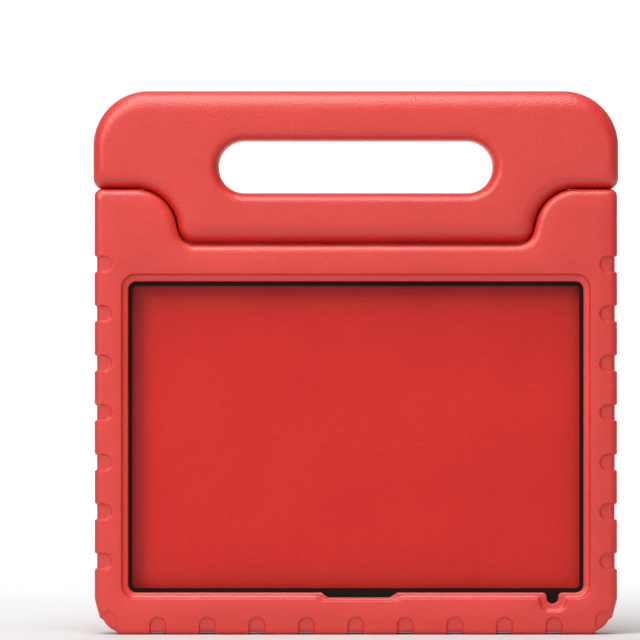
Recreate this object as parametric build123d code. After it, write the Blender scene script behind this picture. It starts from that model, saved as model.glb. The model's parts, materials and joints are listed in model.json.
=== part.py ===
from build123d import *
import os
from math import sin, cos, radians, sqrt

# A moulded foam tablet case with a carry handle that folds back as a stand.
# Frame: X to the right, Y to the back, Z up. The origin is the middle of the bottom edge.
# The hinge axis lies in the plane y = 0, where the handle's two shells meet. The case is a
# tray with a front frame bonded over it. All sizes are in millimetres.

# ---- Overall size
WIDTH = 265.0                # across the case
HALF_WIDTH = WIDTH / 2
HANDLE_HALF_WIDTH = 133.2    # the handle is a little wider than the case
HEIGHT = 275.8               # with the handle up
FRONT_Y = -14.0              # front face of the case and of the handle
CASE_BACK_Y = 10.0           # back face of the case
HANDLE_BACK_Y = 14.0         # back face of the handle
CASE_CORNER_R = 14.5         # bottom corners seen from the front
HORN_CORNER_R = 3.5          # top outer corners of the two horns
CASE_FRONT_ROUND = 3.2       # rounding of the case's front edge
CASE_REAR_ROUND = 3.2

# ---- Seam between the case and the handle
SHOULDER_Z = 226.0           # top of the horns
SEAT_Z = 197.7               # bottom of the handle's tongue
SHOULDER_X = 95.5            # where the seam turns down from the shoulder
SEAT_X = 88.5                # where it turns into the seat
SHOULDER_R = 21.0
SEAT_R = 9.0
SEAM_HALF_GAP = 0.35

# ---- Hinge axis
AXIS_Z = (SHOULDER_Z + SEAT_Z) / 2
HUB_R = 14.0                 # round ends of the horns and of the tongue about the axis
HUB_CLEARANCE = 0.4          # radial gap round each hub
HUB_PLANE_X = 89.5           # the horns' hubs are outside this, the tongue's inside
NECK_R = 10.0                # thinner inner ends of the horns' hubs, behind the sloping seam
NECK_END_X = 104.0
NECK_DROP = 4.0              # how far below the axis the space behind a neck reaches
FOLD_RELIEF_DEG = 20.0       # slope behind the seat that lets the handle fold back

# ---- Grip grooves round the case's edge
GROOVE_WIDTH = 8.6
GROOVE_DEPTH = 0.9
GROOVE_REACH = 8.5           # how far a groove runs in over the front face
GROOVE_PITCH = 25.1
SIDE_GROOVES = 7
LOWEST_SIDE_GROOVE_Z = 37.2
BOTTOM_GROOVES = 9
CORNER_GROOVE_X = 126.0      # centre of the groove on each bottom corner
CORNER_GROOVE_Z = 6.5

# ---- Window and ledge
WINDOW_HALF_WIDTH = 115.35
WINDOW_BOTTOM_Z = 21.6
WINDOW_TOP_Z = 179.0
WINDOW_CORNER_R = 4.0
LEDGE_HALF_WIDTH = 119.0
LEDGE_BOTTOM_Z = 18.2
LEDGE_TOP_Z = 182.6
LEDGE_CORNER_R = 8.0
LEDGE_DEPTH = 1.2
BUTTON_NOTCH_X = 1.2         # finger notch for the button under the screen
BUTTON_NOTCH_TOP_HALF = 19.5
BUTTON_NOTCH_BOTTOM_HALF = 15.6
BUTTON_NOTCH_DEPTH = 2.8
SMALL_NOTCH_X = 99.8         # small round notch near the right corner
SMALL_NOTCH_R = 3.4
SMALL_NOTCH_BOTTOM_Z = 15.7
SMALL_NOTCH_BULGE_R = 7.4    # the ledge goes round the small notch

# ---- Tablet pocket, its ring and its pad
POCKET_HALF_WIDTH = 122.0
POCKET_BOTTOM_Z = 12.1
POCKET_TOP_Z = 188.5
POCKET_CORNER_R = 9.0
PARTING_Y = -9.6             # where the front frame meets the tray
RING_THICKNESS = 1.2
RING_INNER_HALF_WIDTH = 113.4
RING_INNER_BOTTOM_Z = 23.5
RING_INNER_TOP_Z = 176.7
RING_INNER_R = 2.0
PAD_THICKNESS = 2.0
FIT = 0.1                    # gap round parts that sit in the pocket
CAMERA_X = -111.0
CAMERA_Z = 182.3
CAMERA_R = 4.8
CAMERA_FLARE_R = 9.0
PORT_Z = 100.4
PORT_LENGTH = 13.0
PORT_HEIGHT = 6.0
PORT_Y = -4.2                # middle of the tablet's thickness
BACK_FIELD_DEPTH = 1.0
BACK_FIELD_MARGIN = 20.0

# ---- Handle
HANDLE_TOP_R = 28.0
HANDLE_EDGE_ROUND = 3.2
HANDLE_FOOT_CORNER_R = 5.0
HANDLE_TOP_ROUND = 10.0
HANDLE_FOOT_REAR_ROUND = 8.0
TONGUE_FRONT_ROUND = 8.0
HAND_HOLE_HALF_WIDTH = 69.7
HAND_HOLE_BOTTOM_Z = 223.9
HAND_HOLE_TOP_Z = 250.5
HAND_HOLE_ROUND = 6.0

# ---- Stiff core of the handle
CORE_THICKNESS = 8.0
CORE_WALL = 8.0
CORE_MARGIN = 7.0            # foam between the hand hole and the core
CORE_BOSS_R = 8.0
CORE_BOSS_INNER_X = 72.0
CORE_BOSS_OUTER_X = 88.0
CORE_TIP_R = 5.5
CORE_TIP_X = 93.3

# ---- Hinge hardware, by distance from the middle of the object
PIN_R = 3.0
PIN_HEAD_R = 5.5
PIN_HEAD_OUTER_X = 124.0
PIN_HEAD_INNER_X = 120.6
SLOT_WIDTH = 1.2
SLOT_DEPTH = 1.2
RUNNING_FIT = 0.05
WAVE_WASHER_X = (118.6, 120.5)
WAVE_WASHER_R = 5.4
WAVE_RING_THICKNESS = 0.5
FRICTION_DISC_X = (117.5, 118.5)
FRICTION_DISC_R = 6.6
SOCKET_X = (95.5, 117.4)
SOCKET_R = 8.5
SOCKET_RIB_R = 10.0
SOCKET_RIB_WIDTH = 3.0
BUSH_R = 4.5
BUSH_FLANGE_X = (94.5, 95.5)
BUSH_FLANGE_R = 6.8
THRUST_WASHER_X = (93.4, 94.4)
THRUST_WASHER_R = 6.4
HORN_RECESS_R = 7.2
ACCESS_BORE_R = 7.0
PLUG_X = (126.5, 131.6)
PLUG_R = 7.0
PLUG_HEAD_ROUND = 0.8
NUT_X = (68.0, 72.0)
NUT_ACROSS_FLATS = 10.0

CUT = 400.0                  # longer than anything that it cuts


# ---- Helpers

def on_front(sketch, y_from, y_to):
    """Extrude a sketch drawn in X and Z along Y, from y_from to y_to."""
    face = Plane.XZ * sketch
    solid = extrude(face, amount=abs(y_to - y_from), dir=(0, 1, 0))
    return Pos(0, min(y_from, y_to), 0) * solid


def along_x(sketch, x_from, x_to):
    """Extrude a sketch drawn in Y and Z along X, from x_from to x_to."""
    face = Plane.YZ * sketch
    solid = extrude(face, amount=abs(x_to - x_from), dir=(1, 0, 0))
    return Pos(min(x_from, x_to), 0, 0) * solid


def rounded_outline(corners):
    """A face from (x, z, radius) corners, in order round the outline."""
    points = [(x, z) for x, z, _ in corners]
    radii = [radius for _, _, radius in corners]
    return make_face(FilletPolyline(*points, radius=radii, close=True))


def rounded_box_outline(half_width, bottom, top, radius):
    """A rectangle with round corners, centred on x = 0."""
    height = top - bottom
    return Pos(0, (bottom + top) / 2) * RectangleRounded(2 * half_width, height, radius)


def mirrored(corners):
    """Corners of the right half, from the middle outwards, and their mirror images."""
    return corners + [(-x, z, radius) for x, z, radius in reversed(corners)]


def hub(radius, x_from, x_to):
    """A cylinder on the hinge axis, between two distances along X."""
    return Pos(0, 0, AXIS_Z) * along_x(Circle(radius), x_from, x_to)


def on_both_sides(make):
    """Union of a solid and its mirror image in the plane x = 0."""
    solid = make()
    return solid + mirror(solid, about=Plane.YZ)


def space_before(y):
    return Pos(0, y - CUT / 2, 0) * Box(2 * CUT, CUT, 2 * CUT)


def space_behind(y):
    return Pos(0, y + CUT / 2, 0) * Box(2 * CUT, CUT, 2 * CUT)


def round_edges_at(solid, y, radius):
    """Fillet every outline edge of the solid that lies on the plane at y."""
    edges = [edge for edge in solid.edges() if abs(edge.center().Y - y) < 0.01
             and abs((edge @ 0).Y - y) < 0.01]
    return fillet(edges, radius)


# ---- Case

def case_outline(inset):
    """Front view of the case below the seam, moved inwards by inset."""
    side = HALF_WIDTH - inset
    gap = SEAM_HALF_GAP + inset
    return rounded_outline(mirrored([
        (SEAT_X + gap, SEAT_Z - gap, SEAT_R + gap),
        (SHOULDER_X + gap, SHOULDER_Z - gap, SHOULDER_R - gap),
        (side, SHOULDER_Z - gap, HORN_CORNER_R),
        (side, inset, CASE_CORNER_R - inset),
    ]))


def plain_case(inset):
    """The case without grooves, its outline and faces moved inwards by inset."""
    solid = on_front(case_outline(inset), FRONT_Y + inset, CASE_BACK_Y - inset)
    solid = round_edges_at(solid, FRONT_Y + inset, CASE_FRONT_ROUND)
    return round_edges_at(solid, CASE_BACK_Y - inset, CASE_REAR_ROUND)


def groove_slot(x, z, direction_deg):
    """One slot of the groove pattern, running out of the case from its round inner end."""
    length = 4 * GROOVE_REACH
    slot = SlotOverall(length, GROOVE_WIDTH)
    slot = Pos(length / 2 - GROOVE_REACH, 0) * slot
    slot = Pos(x, z) * Rot(0, 0, direction_deg) * slot
    return on_front(slot, FRONT_Y - 1, CASE_BACK_Y + 1)


def groove_slots():
    """All slots: up both sides, along the bottom and one on each bottom corner."""
    slots = []
    for step in range(SIDE_GROOVES):
        z = LOWEST_SIDE_GROOVE_Z + step * GROOVE_PITCH
        slots.append(groove_slot(HALF_WIDTH, z, 0))
        slots.append(groove_slot(-HALF_WIDTH, z, 180))
    for step in range(BOTTOM_GROOVES):
        x = (step - (BOTTOM_GROOVES - 1) / 2) * GROOVE_PITCH
        slots.append(groove_slot(x, 0, -90))
    slots.append(groove_slot(CORNER_GROOVE_X, CORNER_GROOVE_Z, -45))
    slots.append(groove_slot(-CORNER_GROOVE_X, CORNER_GROOVE_Z, -135))
    return slots


def grooved_case():
    """The case with its grip grooves, which are as deep on the faces as on the edge."""
    outer = plain_case(0) - groove_slots()
    return outer + plain_case(GROOVE_DEPTH)


def seat_relief():
    """Space behind the tongue that the handle's back face sweeps through."""
    drop = sin(radians(FOLD_RELIEF_DEG)) / cos(radians(FOLD_RELIEF_DEG)) * CUT
    start_z = AXIS_Z - HUB_R / cos(radians(FOLD_RELIEF_DEG)) - HUB_CLEARANCE
    wedge = Polygon((0, start_z), (CUT, start_z - drop), (CUT, start_z + CUT),
                    (0, start_z + CUT), align=None)
    return along_x(wedge, -HUB_PLANE_X - SEAM_HALF_GAP, HUB_PLANE_X + SEAM_HALF_GAP)


def horn_top_trim():
    """Everything above the hinge axis and behind it, outside the horns' round hubs."""
    above = Box(2 * CUT, CUT, CUT, align=(Align.CENTER, Align.MIN, Align.MIN))
    return Pos(0, 0, AXIS_Z) * above - hub(HUB_R, -CUT, CUT)


def neck_space():
    """Space behind both necks that the front of the tongue sweeps through."""
    def right():
        width = NECK_END_X - HUB_PLANE_X
        block = Box(width, CUT, CUT, align=(Align.MIN, Align.MIN, Align.MIN))
        block = Pos(HUB_PLANE_X, 0, AXIS_Z - NECK_DROP) * block
        return block - hub(NECK_R, HUB_PLANE_X, NECK_END_X)
    return on_both_sides(right)


def horn_hubs():
    """Round ends of both horns about the hinge axis, with a thinner neck inside each."""
    def right():
        cylinder = hub(HUB_R, NECK_END_X, HALF_WIDTH)
        outer_rim = cylinder.faces().sort_by(Axis.X)[-1].edges()
        neck = hub(NECK_R, HUB_PLANE_X + SEAM_HALF_GAP, NECK_END_X)
        return fillet(outer_rim, HORN_CORNER_R) + neck
    return on_both_sides(right)


def horn_room():
    """What the handle leaves free round the horns' hubs and necks."""
    def right():
        neck_room = hub(NECK_R + HUB_CLEARANCE, HUB_PLANE_X - SEAM_HALF_GAP, NECK_END_X)
        hub_room = hub(HUB_R + HUB_CLEARANCE, NECK_END_X - 2 * SEAM_HALF_GAP, CUT)
        return neck_room + hub_room
    return on_both_sides(right)


def horn_bores():
    """Bores in the horns for the sockets, the pins' heads and the plugs."""
    def right():
        bores = hub(SOCKET_R, SOCKET_X[0], SOCKET_X[1])
        bores += socket_rib()
        bores += hub(ACCESS_BORE_R, SOCKET_X[1], CUT)
        bores += hub(HORN_RECESS_R, HUB_PLANE_X - 1, SOCKET_X[0])
        return bores
    return on_both_sides(right)


def case_body():
    """The whole foam case with its horns, before the pocket and the window are cut."""
    solid = grooved_case()
    solid -= hub(HUB_R + HUB_CLEARANCE, -HUB_PLANE_X - SEAM_HALF_GAP, HUB_PLANE_X + SEAM_HALF_GAP)
    solid -= seat_relief()
    solid -= horn_top_trim()
    solid -= neck_space()
    solid += horn_hubs()
    return solid - horn_bores()


def pocket(y_from, y_to, clearance=0.0):
    outline = rounded_box_outline(POCKET_HALF_WIDTH - clearance, POCKET_BOTTOM_Z + clearance,
                                  POCKET_TOP_Z - clearance, POCKET_CORNER_R)
    return on_front(outline, y_from, y_to)


def ledge_outline():
    """The step round the window, which also goes round the small notch."""
    outline = rounded_box_outline(LEDGE_HALF_WIDTH, LEDGE_BOTTOM_Z, LEDGE_TOP_Z, LEDGE_CORNER_R)
    bulge_z = SMALL_NOTCH_BOTTOM_Z + SMALL_NOTCH_R
    return outline + Pos(SMALL_NOTCH_X, bulge_z) * Circle(SMALL_NOTCH_BULGE_R)


def window_outline():
    """The window with its two notches."""
    outline = rounded_box_outline(WINDOW_HALF_WIDTH, WINDOW_BOTTOM_Z, WINDOW_TOP_Z,
                                  WINDOW_CORNER_R)
    floor_z = WINDOW_BOTTOM_Z - BUTTON_NOTCH_DEPTH
    outline += Polygon(
        (BUTTON_NOTCH_X - BUTTON_NOTCH_TOP_HALF, WINDOW_BOTTOM_Z),
        (BUTTON_NOTCH_X - BUTTON_NOTCH_BOTTOM_HALF, floor_z),
        (BUTTON_NOTCH_X + BUTTON_NOTCH_BOTTOM_HALF, floor_z),
        (BUTTON_NOTCH_X + BUTTON_NOTCH_TOP_HALF, WINDOW_BOTTOM_Z), align=None)
    round_z = SMALL_NOTCH_BOTTOM_Z + SMALL_NOTCH_R
    outline += Pos(SMALL_NOTCH_X, round_z) * Circle(SMALL_NOTCH_R)
    slot_height = WINDOW_BOTTOM_Z + 1 - round_z
    outline += Pos(SMALL_NOTCH_X, round_z + slot_height / 2) * Rectangle(2 * SMALL_NOTCH_R,
                                                                         slot_height)
    return outline


def port_slot():
    """Charging-port slot through the case's right wall."""
    slot = SlotOverall(PORT_LENGTH, PORT_HEIGHT, rotation=90)
    return Pos(0, PORT_Y, PORT_Z) * along_x(slot, POCKET_HALF_WIDTH - 2, HALF_WIDTH + 2)


def front_frame(body):
    """Foam frame over the tray: its inner edge is the lip that holds the tablet."""
    solid = body & space_before(PARTING_Y)
    solid -= on_front(ledge_outline(), FRONT_Y - 1, FRONT_Y + LEDGE_DEPTH)
    return solid - on_front(window_outline(), FRONT_Y - 1, 1)


def camera_hole(y_from, y_to):
    return Pos(CAMERA_X, 0, CAMERA_Z) * on_front(Circle(CAMERA_R), y_from, y_to)


def camera_flare():
    """The hole widens towards the back, so that the foam stays out of the picture."""
    depth = CASE_BACK_Y - BACK_FIELD_DEPTH - PAD_THICKNESS
    cone = Cone(CAMERA_R, CAMERA_FLARE_R, depth, align=(Align.CENTER, Align.CENTER, Align.MIN))
    return Pos(CAMERA_X, CASE_BACK_Y - depth, CAMERA_Z) * Rot(-90, 0, 0) * cone


def back_field():
    """Shallow field in the case's back."""
    outline = rounded_box_outline(HALF_WIDTH - BACK_FIELD_MARGIN, BACK_FIELD_MARGIN,
                                  POCKET_TOP_Z - BACK_FIELD_MARGIN / 2, CASE_CORNER_R)
    return on_front(outline, CASE_BACK_Y - BACK_FIELD_DEPTH, CASE_BACK_Y + 1)


def rear_shell(body):
    """Foam tray, with the pocket, the port slot, the camera hole and the back field."""
    solid = body & space_behind(PARTING_Y)
    solid -= pocket(PARTING_Y - 1, PAD_THICKNESS)
    solid -= port_slot()
    solid -= camera_hole(-1, CASE_BACK_Y + 1)
    solid -= camera_flare()
    return solid - back_field()


def bezel_ring():
    """Thin ring under the lip, which frames the screen and closes the notches."""
    front = PARTING_Y
    hole = rounded_box_outline(RING_INNER_HALF_WIDTH, RING_INNER_BOTTOM_Z, RING_INNER_TOP_Z,
                               RING_INNER_R)
    ring = pocket(front, front + RING_THICKNESS, FIT)
    return ring - on_front(hole, front - 1, front + RING_THICKNESS + 1)


def inner_pad():
    """Padded panel under the tablet's back."""
    pad = pocket(0, PAD_THICKNESS, FIT)
    return pad - camera_hole(-1, PAD_THICKNESS + 1)


# ---- Handle

def handle_front_outline():
    """Front view of the handle, with the tongue that dips between the horns."""
    gap = SEAM_HALF_GAP
    return rounded_outline(mirrored([
        (SEAT_X - gap, SEAT_Z + gap, SEAT_R - gap),
        (SHOULDER_X - gap, SHOULDER_Z + gap, SHOULDER_R + gap),
        (HANDLE_HALF_WIDTH, SHOULDER_Z + gap, HANDLE_FOOT_CORNER_R),
        (HANDLE_HALF_WIDTH, HEIGHT, HANDLE_TOP_R),
    ]))


def handle_rear_outline():
    """Rear view of the handle: the tongue has straight sides, so that it turns freely."""
    gap = SEAM_HALF_GAP
    return rounded_outline(mirrored([
        (HUB_PLANE_X - gap, SEAT_Z, 0),
        (HUB_PLANE_X - gap, SHOULDER_Z + gap, 0),
        (HANDLE_HALF_WIDTH, SHOULDER_Z + gap, HANDLE_FOOT_CORNER_R),
        (HANDLE_HALF_WIDTH, HEIGHT, HANDLE_TOP_R),
    ]))


def shoulder_profile():
    """Side view of the handle above the horns."""
    return rounded_outline([
        (FRONT_Y, SHOULDER_Z + SEAM_HALF_GAP, 0),
        (HANDLE_BACK_Y, SHOULDER_Z + SEAM_HALF_GAP, HANDLE_FOOT_REAR_ROUND),
        (HANDLE_BACK_Y, HEIGHT, HANDLE_TOP_ROUND),
        (FRONT_Y, HEIGHT, HANDLE_TOP_ROUND),
    ])


def tongue_profile():
    """Side view of the tongue: round about the hinge axis behind it."""
    return rounded_outline([
        (FRONT_Y, AXIS_Z - HUB_R, TONGUE_FRONT_ROUND),
        (HANDLE_BACK_Y, AXIS_Z - HUB_R, HUB_R - 0.001),
        (HANDLE_BACK_Y, HEIGHT - HANDLE_TOP_R, 0),
        (FRONT_Y, HEIGHT - HANDLE_TOP_R, 0),
    ])


def hand_hole():
    """Long round-ended hole for the hand."""
    height = HAND_HOLE_TOP_Z - HAND_HOLE_BOTTOM_Z
    outline = Pos(0, (HAND_HOLE_TOP_Z + HAND_HOLE_BOTTOM_Z) / 2) * SlotOverall(
        2 * HAND_HOLE_HALF_WIDTH, height)
    return on_front(outline, FRONT_Y - 1, HANDLE_BACK_Y + 1)


def handle_solid():
    """The whole foam handle, before the core's cavity is cut."""
    front = on_front(handle_front_outline(), FRONT_Y, 0)
    front = round_edges_at(front, FRONT_Y, HANDLE_EDGE_ROUND)
    rear = on_front(handle_rear_outline(), 0, HANDLE_BACK_Y)
    shoulders = (front + rear) & along_x(shoulder_profile(), -CUT, CUT)
    flare_x = SHOULDER_X + SHOULDER_R
    tongue = front & along_x(tongue_profile(), -flare_x, flare_x)
    rear_x = HUB_PLANE_X - SEAM_HALF_GAP
    tongue += rear & along_x(tongue_profile(), -rear_x, rear_x)
    solid = shoulders + (tongue - horn_room())
    solid += hub(HUB_R, -rear_x, rear_x)
    solid -= hand_hole()
    for y in (FRONT_Y, HANDLE_BACK_Y):
        rim = [edge for edge in solid.edges()
               if abs(edge.center().Y - y) < 0.01
               and abs(edge.center().X) < HAND_HOLE_HALF_WIDTH
               and HAND_HOLE_BOTTOM_Z - 1 < edge.center().Z < HAND_HOLE_TOP_Z + 1]
        solid = fillet(rim, HAND_HOLE_ROUND)
    return solid


def core_loop():
    """Stiff loop round the hand hole, inside the foam."""
    centre_z = (HAND_HOLE_TOP_Z + HAND_HOLE_BOTTOM_Z) / 2
    height = HAND_HOLE_TOP_Z - HAND_HOLE_BOTTOM_Z
    hole = SlotOverall(2 * (HAND_HOLE_HALF_WIDTH + CORE_MARGIN), height + 2 * CORE_MARGIN)
    reach = CORE_MARGIN + CORE_WALL
    rim = SlotOverall(2 * (HAND_HOLE_HALF_WIDTH + reach), height + 2 * reach)
    ring = Pos(0, centre_z) * (rim - hole)
    return on_front(ring, -CORE_THICKNESS / 2, CORE_THICKNESS / 2)


def core_bosses():
    """Bosses on the hinge axis that hold the pins."""
    def right():
        boss = hub(CORE_BOSS_R, CORE_BOSS_INNER_X, CORE_BOSS_OUTER_X)
        return boss + hub(CORE_TIP_R, CORE_BOSS_OUTER_X, CORE_TIP_X)
    return on_both_sides(right)


def nut_cavities():
    """Round spaces for the nuts and the ends of the pins."""
    def right():
        return hub(NUT_ACROSS_FLATS / sqrt(3) + FIT, NUT_X[0] - 1, NUT_X[1])
    return on_both_sides(right)


def handle_core():
    """The loop and its bosses, bored for the pins."""
    bores = on_both_sides(lambda: hub(PIN_R, NUT_X[1], CORE_TIP_X))
    return core_loop() + core_bosses() - nut_cavities() - bores


def core_cavity():
    """What the core, the nuts and the pins take out of the foam."""
    return core_loop() + core_bosses() + nut_cavities()


# ---- Hinge hardware, drawn for the right side

def hinge_pin():
    """Shoulder pin with a slotted head."""
    pin = hub(PIN_R, NUT_X[0], PIN_HEAD_INNER_X)
    head = hub(PIN_HEAD_R, PIN_HEAD_INNER_X, PIN_HEAD_OUTER_X)
    head = chamfer(head.faces().sort_by(Axis.X)[-1].edges(), SLOT_DEPTH / 2)
    slot = Pos(PIN_HEAD_OUTER_X, 0, AXIS_Z) * Box(2 * SLOT_DEPTH, SLOT_WIDTH, 3 * PIN_HEAD_R)
    return pin + head - slot


def pin_nut():
    """Hexagon nut on the pin's inner end."""
    hexagon = RegularPolygon(NUT_ACROSS_FLATS / 2, 6, major_radius=False)
    nut = Pos(0, 0, AXIS_Z) * along_x(hexagon, NUT_X[0], NUT_X[1])
    return nut - hub(PIN_R, NUT_X[0], NUT_X[1])


def socket_rib():
    """Rib that keeps the socket from turning or sliding in the foam."""
    middle = (SOCKET_X[0] + SOCKET_X[1]) / 2
    return hub(SOCKET_RIB_R, middle - SOCKET_RIB_WIDTH / 2, middle + SOCKET_RIB_WIDTH / 2)


def hinge_socket():
    """Stiff sleeve in the horn."""
    return hub(SOCKET_R, *SOCKET_X) + socket_rib() - hub(BUSH_R, *SOCKET_X)


def hinge_bush():
    """Flanged plain bearing in the socket."""
    bush = hub(BUSH_R, BUSH_FLANGE_X[1], SOCKET_X[1]) + hub(BUSH_FLANGE_R, *BUSH_FLANGE_X)
    return bush - hub(PIN_R + RUNNING_FIT, BUSH_FLANGE_X[0], SOCKET_X[1])


def flat_ring(x_range, outer_r):
    """A plain washer with a running fit on the pin."""
    return hub(outer_r, *x_range) - hub(PIN_R + RUNNING_FIT, *x_range)


def wave_washer():
    """Spring of two thin rings joined by four bridges."""
    inner, outer = WAVE_WASHER_X
    rings = flat_ring((inner, inner + WAVE_RING_THICKNESS), WAVE_WASHER_R)
    rings += flat_ring((outer - WAVE_RING_THICKNESS, outer), WAVE_WASHER_R)
    bridge_r = (PIN_R + WAVE_WASHER_R) / 2
    for step in range(4):
        angle = radians(90 * step)
        bridge = hub((WAVE_WASHER_R - PIN_R) / 3, inner, outer)
        rings += Pos(0, bridge_r * cos(angle), bridge_r * sin(angle)) * bridge
    return rings


def hinge_plug():
    """Domed plug that closes the access bore."""
    plug = hub(PLUG_R, *PLUG_X)
    return fillet(plug.faces().sort_by(Axis.X)[-1].edges(), PLUG_HEAD_ROUND)


# ---- Build and write

def write(name, shape):
    shape.label = name
    export_step(shape, f"parts/{name}.step")


def main():
    os.makedirs("parts", exist_ok=True)
    body = case_body()
    handle = handle_solid() - core_cavity()
    write("front_frame", front_frame(body))
    write("rear_shell", rear_shell(body))
    write("bezel_ring", bezel_ring())
    write("inner_pad", inner_pad())
    write("handle_front_shell", handle & space_before(0))
    write("handle_rear_shell", handle & space_behind(0))
    write("handle_core", handle_core())
    hardware = {
        "hinge_pin": hinge_pin(),
        "pin_nut": pin_nut(),
        "hinge_socket": hinge_socket(),
        "hinge_bush": hinge_bush(),
        "friction_disc": flat_ring(FRICTION_DISC_X, FRICTION_DISC_R),
        "wave_washer": wave_washer(),
        "thrust_washer": flat_ring(THRUST_WASHER_X, THRUST_WASHER_R),
        "hinge_plug": hinge_plug(),
    }
    for name, solid in hardware.items():
        write(f"{name}_right", solid)
        write(f"{name}_left", mirror(solid, about=Plane.YZ))


main()
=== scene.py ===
import json
from collections import namedtuple
from math import atan2, copysign, cos, hypot, pi, radians, sin, tan

import bmesh
import bpy
import numpy as np
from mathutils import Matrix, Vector
from mathutils.geometry import delaunay_2d_cdt


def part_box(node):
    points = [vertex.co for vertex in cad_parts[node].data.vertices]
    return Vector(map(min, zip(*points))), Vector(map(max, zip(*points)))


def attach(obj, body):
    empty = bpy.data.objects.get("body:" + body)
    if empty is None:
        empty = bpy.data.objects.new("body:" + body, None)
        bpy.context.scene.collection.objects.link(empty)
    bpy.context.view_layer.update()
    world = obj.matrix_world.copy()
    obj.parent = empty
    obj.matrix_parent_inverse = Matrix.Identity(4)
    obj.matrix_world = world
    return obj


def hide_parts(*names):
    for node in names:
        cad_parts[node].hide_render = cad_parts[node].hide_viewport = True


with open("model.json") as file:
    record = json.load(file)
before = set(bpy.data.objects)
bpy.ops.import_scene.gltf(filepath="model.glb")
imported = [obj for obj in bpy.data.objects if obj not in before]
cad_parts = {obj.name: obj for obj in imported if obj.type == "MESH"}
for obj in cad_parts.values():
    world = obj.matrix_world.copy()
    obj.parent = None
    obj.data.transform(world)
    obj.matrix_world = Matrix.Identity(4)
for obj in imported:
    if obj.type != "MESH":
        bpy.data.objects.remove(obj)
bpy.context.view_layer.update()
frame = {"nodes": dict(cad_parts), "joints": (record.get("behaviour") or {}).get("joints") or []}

# The looks of a moulded foam tablet case with a carry handle. Shapes are worked out in
# millimetres, in the frame's axes: X to the right, Y to the back, Z up. A foam piece is a stack
# of rings. Each ring is an outline seen from the front, moved inwards and back side by side.

MM = 0.001

# ---- Sizes read from the frame

def node_box(name):
    """The lowest and the highest corner of a CAD node, in millimetres."""
    return [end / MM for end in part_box(name)]


FRAME_LOW, FRAME_HIGH = node_box("front_frame")
PAD_LOW, PAD_HIGH = node_box("inner_pad")
SOCKET_LOW, SOCKET_HIGH = node_box("hinge_socket_right")
HANDLE_HIGH = node_box("handle_rear_shell")[1]
HALF_WIDTH = node_box("rear_shell")[1].x
HANDLE_HALF_WIDTH = HANDLE_HIGH.x
FRONT_Y = FRAME_LOW.y
PARTING_Y = FRAME_HIGH.y     # where the case's frame lies on its tray
HANDLE_BACK_Y = HANDLE_HIGH.y
TOP_Z = HANDLE_HIGH.z
AXIS_Z = frame["joints"][0]["pos_m"][2] / MM
PLUG_R = node_box("hinge_plug_right")[1].z - AXIS_Z

# ---- Sizes of the soft shapes
CASE_BACK_Y = 10.0
SEAT_Z = 197.7               # the seam under the handle's tongue
SHOULDER_Z = 226.0           # the seam over the horns
SEAT_X = 88.5
SHOULDER_X = 95.5
SEAT_R = 9.0
SHOULDER_R = 21.0
SEAM_HALF_GAP = 0.2
SEAM_RIDGE = 0.3             # height of the ridges that close the seam to light
RIDGE_SLOPE = 0.5            # how far along Y a ridge takes to rise
TRAY_RIDGE_Y = (-6.2, -3.2)
HANDLE_RIDGE_Y = (-0.3, -2.0)
HORN_CORNER_R = 3.5
SEAM_EDGE = (5.2, 4.2)       # width and depth of the rounding along the seam
HORN_EDGE = (4.4, 4.2)
CASE_EDGE = (4.2, 4.0)
FOOT_TOP_Z = 18.0            # the case's bottom corners lean in from here
FOOT_TOP_R = 10.0
FOOT_INSET = 4.9
FOOT_BOTTOM_R = 12.4
HORN_MARKS = [208.0, 213.0, 218.0]       # heights of extra points on the horns' sides
HUB_R = 14.0                 # round ends of the horns and of the tongue about the axis
HUB_CLEARANCE = 0.4
TONGUE_HALF_WIDTH = 89.15
NECK_R = 8.6                 # thinner inner ends of the hubs
NECK_ROOM_R = 8.9            # room for them in the handle
NECK_START_X = 91.3
NECK_END_X = 104.0
HUB_START_X = NECK_END_X - 0.35
NECK_DROP = 4.0              # how far below the axis the space behind a neck reaches
TIP_BORE_R = 5.9             # bore round the tip of the handle's core
TIP_BORE_END_X = 93.2
HORN_BORE_R = NECK_R - 0.5
SLIT = 0.15                  # between the tongue's sides and the horns
SEAT_END_X = TONGUE_HALF_WIDTH + SLIT
RELIEF_DEG = 20.0            # slope behind the tongue, which lets the handle fold back
RELIEF_EDGE_R = 5.0
BEYOND_Y = 2 * HANDLE_BACK_Y     # safely behind everything
GROOVE_DEPTH = 1.2
GROOVE_FLOOR_R = 3.5         # half width of a groove's floor
GROOVE_RIM_R = 4.5           # half width between a groove's rims
GROOVE_REACH = 8.8           # how far a groove runs in over the case's faces
GROOVE_PITCH = 25.1
GROOVE_MARK_STEP = 0.4       # between an outline's points across a groove
REST_MARK_STEP = 3.0         # and between them elsewhere
CROWN = 0.1                  # how far the case's face falls off at its edge, per edge depth
BRIM_WIDTH = 6.4             # the part of the face beside the edge that falls off
BRIM_STEPS = 16
SIDE_GROOVES = [37.2 + GROOVE_PITCH * step for step in range(7)]
BOTTOM_GROOVES = [GROOVE_PITCH * step for step in range(-4, 5)]
CORNER_GROOVE = (125.6, 7.8)
WINDOW_HALF_WIDTH = 115.35
WINDOW_BOTTOM_Z = 21.3
WINDOW_TOP_Z = 179.0
WINDOW_R = 4.0
ROUND_NOTCH_X = (96.75, 102.65)
ROUND_NOTCH_Z = 15.7
ROUND_NOTCH_R = 2.9
LONG_NOTCH_TOP_X = (-17.6, 21.0)
LONG_NOTCH_FLOOR_X = (-14.0, 17.1)
LONG_NOTCH_Z = 18.8
LEDGE_DEPTH = 1.7
LEDGE_Y = FRONT_Y + LEDGE_DEPTH
LEDGE_FALL = 0.6             # how far the ledge falls towards the window
LEDGE_HALF_WIDTH = 117.8
LEDGE_BOTTOM_Z = 19.3
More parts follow.
